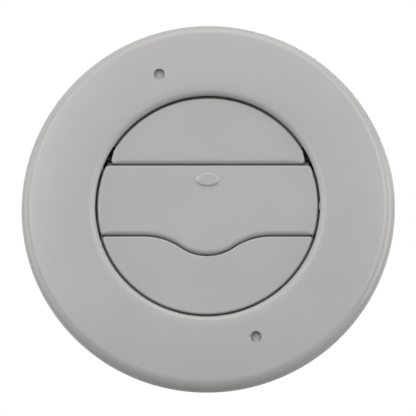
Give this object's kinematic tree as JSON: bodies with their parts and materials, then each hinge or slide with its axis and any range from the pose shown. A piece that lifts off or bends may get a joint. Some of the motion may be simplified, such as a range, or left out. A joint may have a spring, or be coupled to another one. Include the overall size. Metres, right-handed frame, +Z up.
{
  "type": "dashboard air vent",
  "caption": "Round dashboard air vent: a domed ring with a rolled lip round an opening that linked shutter blades close, on a swivelling drum.",
  "frame": {"origin": "on the vent's axis, in the plane where the flange sits on the panel", "axes": "as fitted: the face looks along -Y, +Z is up and +X is to the right of someone who looks at the face"},
  "size_m": [0.1, 0.0413, 0.1],
  "materials": {
    "ring_plastic": "fine satin texture",
    "blade_plastic": "fine satin texture",
    "tab_blade_plastic": "fine satin texture",
    "black_plastic": "as moulded",
    "natural_plastic": "as moulded, waxy",
    "bush_rubber": "matt",
    "foam": "open-cell foam",
    "screw_steel": "zinc plated"
  },
  "bodies": {
    "housing": {"bezel": "ring_plastic", "duct_collar": "black_plastic", "collar_screws": "screw_steel", "panel_gasket": "foam", "duct_seal": "foam"},
    "rotor": {"rotor_barrel": "black_plastic", "left_pivot_retainer": "black_plastic", "right_pivot_retainer": "black_plastic", "upper_friction_bush": "bush_rubber", "middle_friction_bush": "bush_rubber", "lower_friction_bush": "bush_rubber", "swivel_friction_ring": "natural_plastic"},
    "upper_shutter": {"upper_blade": "blade_plastic", "upper_pivot_pins": "black_plastic"},
    "middle_shutter": {"middle_blade": "tab_blade_plastic", "middle_pivot_pins": "black_plastic"},
    "lower_shutter": {"lower_blade": "blade_plastic", "lower_pivot_pins": "black_plastic"},
    "link": {"link_bar": "natural_plastic"}
  },
  "joints": [
    {"name": "rotor_swivel", "type": "hinge", "parent": "housing", "child": "rotor", "pos_m": [0, 0, 0], "axis": [0, -1, 0], "continuous": true},
    {"name": "middle_shutter_tilt", "type": "hinge", "parent": "rotor", "child": "middle_shutter", "pos_m": [0, 0.0002, 0], "axis": [-1, 0, 0], "range_deg": [0, 70]},
    {"name": "upper_shutter_tilt", "type": "hinge", "parent": "rotor", "child": "upper_shutter", "pos_m": [0, 0.0002, 0.0135], "axis": [-1, 0, 0], "range_deg": [0, 70]},
    {"name": "lower_shutter_tilt", "type": "hinge", "parent": "rotor", "child": "lower_shutter", "pos_m": [0, 0.0002, -0.0135], "axis": [-1, 0, 0], "range_deg": [0, 70]},
    {"name": "link_swing", "type": "hinge", "parent": "middle_shutter", "child": "link", "pos_m": [0.01115, 0.01081, 0.01061], "axis": [-1, 0, 0], "range_deg": [-70, 0]}
  ],
  "couplings": [
    {"joint": "upper_shutter_tilt", "follows": "middle_shutter_tilt", "ratio": 1},
    {"joint": "lower_shutter_tilt", "follows": "middle_shutter_tilt", "ratio": 1},
    {"joint": "link_swing", "follows": "middle_shutter_tilt", "ratio": -1}
  ]
}
